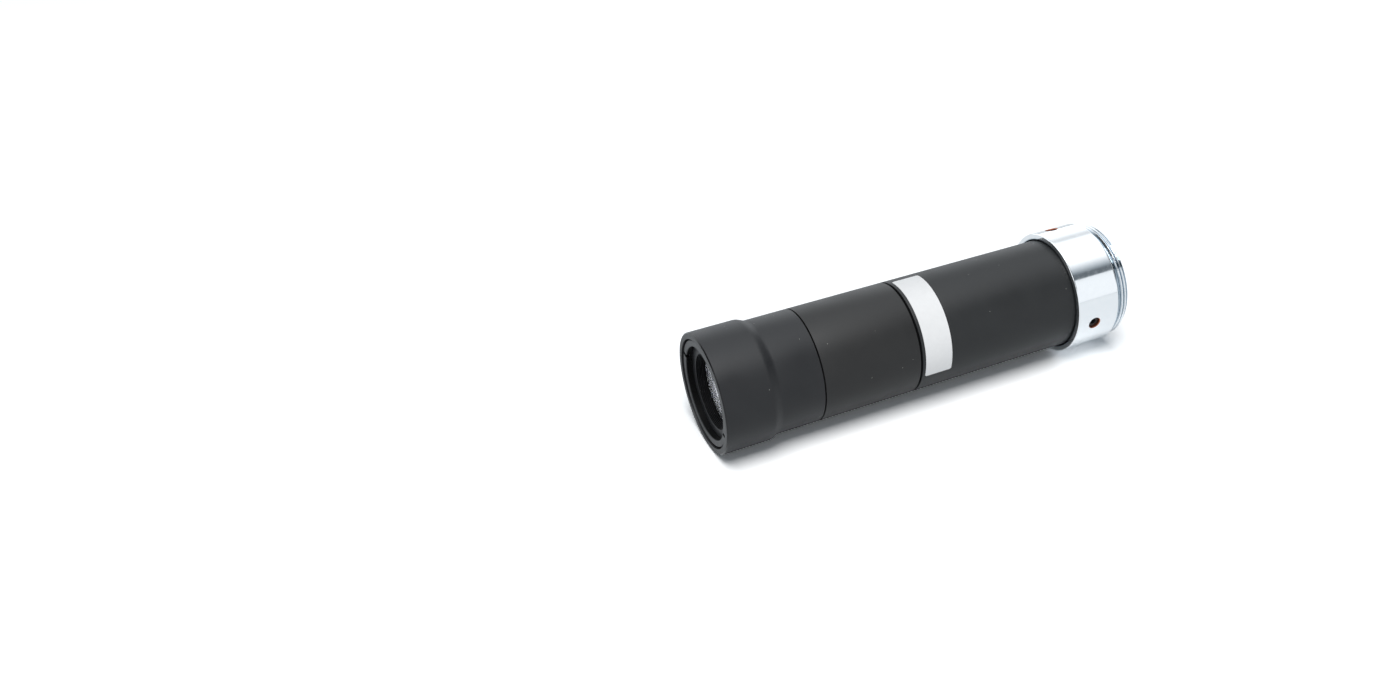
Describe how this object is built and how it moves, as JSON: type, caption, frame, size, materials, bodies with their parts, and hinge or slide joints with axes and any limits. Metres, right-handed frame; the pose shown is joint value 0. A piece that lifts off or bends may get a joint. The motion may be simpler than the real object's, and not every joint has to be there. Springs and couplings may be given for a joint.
{
  "type": "telecentric lens",
  "caption": "Slim telecentric lens for a machine vision camera: black screwed barrels, recessed front glass and a bright collar with the camera thread.",
  "frame": {"origin": "centre of the camera thread's end face, where the optical axis leaves the lens", "axes": "+Z along the optical axis from the camera thread to the front glass; -Y is the side that is up when the lens lies as in the picture, and the label faces half way between -X and -Y"},
  "size_m": [0.027, 0.027, 0.0953],
  "materials": {
    "black_anodised": "fine matte black anodised",
    "inner_black": "dull black anodised, inside the barrels",
    "coated_glass": "polished, anti-reflection coated",
    "bright_plate": "bright plated brass",
    "screw_steel": "black oxide steel",
    "shim_steel": "rolled spring steel",
    "white_label": "smooth white polyester label, bare"
  },
  "bodies": {
    "root": {"front_barrel": "black_anodised", "front_retaining_ring": "black_anodised", "front_spacer_ring": "inner_black", "objective_crown_lens": "coated_glass", "objective_flint_lens": "coated_glass", "front_baffle_ring": "inner_black", "middle_barrel": "black_anodised", "relay_lens": "coated_glass", "relay_retaining_ring": "inner_black", "aperture_stop": "inner_black", "stop_retaining_ring": "inner_black", "rear_barrel": "black_anodised", "rear_flint_lens": "coated_glass", "rear_crown_lens": "coated_glass", "rear_spacer_tube": "inner_black", "image_side_lens": "coated_glass", "rear_retaining_ring": "inner_black", "rear_baffle_ring": "inner_black", "mount_shim": "shim_steel", "mount_collar": "bright_plate", "set_screws": "screw_steel", "label": "white_label"}
  },
  "joints": []
}
